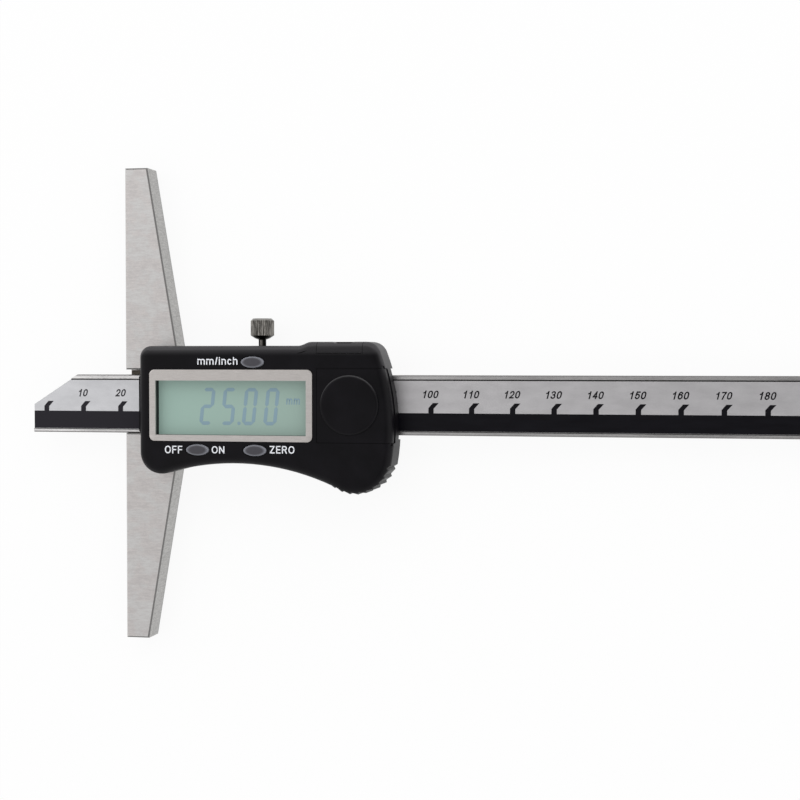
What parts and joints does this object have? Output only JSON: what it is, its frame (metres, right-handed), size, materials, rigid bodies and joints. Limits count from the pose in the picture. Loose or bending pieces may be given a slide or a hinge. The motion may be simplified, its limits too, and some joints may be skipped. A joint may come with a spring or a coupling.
{
  "type": "digital depth gauge",
  "caption": "Electronic depth gauge: a flat steel beam with a numbered scale slides through a tapered cross base and a black display unit with buttons and a lock screw.",
  "frame": {"origin": "on the measuring face, at the beam's centreline and the back plane that the gauge lies on", "axes": "+X away from the measuring face along the beam, +Y along the base past the lock screw, +Z out of the display"},
  "size_m": [0.29, 0.1186, 0.0148],
  "materials": {
    "beam_steel": "fine ground",
    "base_steel": "satin ground",
    "label_silver": "satin",
    "label_black": "satin ink",
    "circuit_board": "solder mask",
    "screw_steel": "oiled",
    "screw_nickel": "nickel plated, knurled",
    "gib_brass": "rolled",
    "chip_black": "moulded",
    "contact_metal": "bright",
    "connector_rubber": "striped elastomer",
    "display": "matt polariser",
    "bezel_silver": "satin",
    "housing_black": "fine moulded",
    "button_grey": "matt"
  },
  "bodies": {
    "slider": {"base": "base_steel", "slider_frame": "base_steel", "base_screws": "screw_steel", "gib_strip": "gib_brass", "gib_screws": "screw_steel", "circuit_board": "circuit_board", "chip": "chip_black", "button_switches": "contact_metal", "glass_connectors": "connector_rubber", "display_glass": "display", "display_bezel": "bezel_silver", "front_housing": "housing_black", "rear_housing": "housing_black", "button_cell": "contact_metal", "negative_contact": "gib_brass", "positive_contact": "gib_brass", "port_contacts": "gib_brass", "housing_screws": "screw_steel"},
    "beam": {"beam": "beam_steel", "scale_strip": "circuit_board", "scale_label": "label_silver", "scale_band": "label_black"},
    "lock_screw": {"lock_screw": "screw_nickel"},
    "unit_button": {"unit_button": "button_grey"},
    "power_button": {"power_button": "button_grey"},
    "zero_button": {"zero_button": "button_grey"},
    "battery_cover": {"battery_cover": "housing_black"},
    "port_cover": {"port_cover": "housing_black"}
  },
  "joints": [
    {"name": "beam_slide", "type": "slide", "parent": "slider", "child": "beam", "axis": [1, 0, 0], "range_m": [-0.175, 0.025]},
    {"name": "lock_turn", "type": "hinge", "parent": "slider", "child": "lock_screw", "pos_m": [0.0354, 0.0161, 0.00503], "axis": [0, 1, 0], "range_deg": [0, 180]},
    {"name": "unit_press", "type": "slide", "parent": "slider", "child": "unit_button", "axis": [0, 0, -1], "range_m": [0, 0.0004], "stiffness_N_per_m": 400},
    {"name": "power_press", "type": "slide", "parent": "slider", "child": "power_button", "axis": [0, 0, -1], "range_m": [0, 0.0004], "stiffness_N_per_m": 400},
    {"name": "zero_press", "type": "slide", "parent": "slider", "child": "zero_button", "axis": [0, 0, -1], "range_m": [0, 0.0004], "stiffness_N_per_m": 400},
    {"name": "battery_cover_slide", "type": "slide", "parent": "slider", "child": "battery_cover", "axis": [1, 0, 0], "range_m": [0, 0.019]},
    {"name": "port_cover_slide", "type": "slide", "parent": "slider", "child": "port_cover", "axis": [0, 1, 0], "range_m": [0, 0.004]}
  ]
}
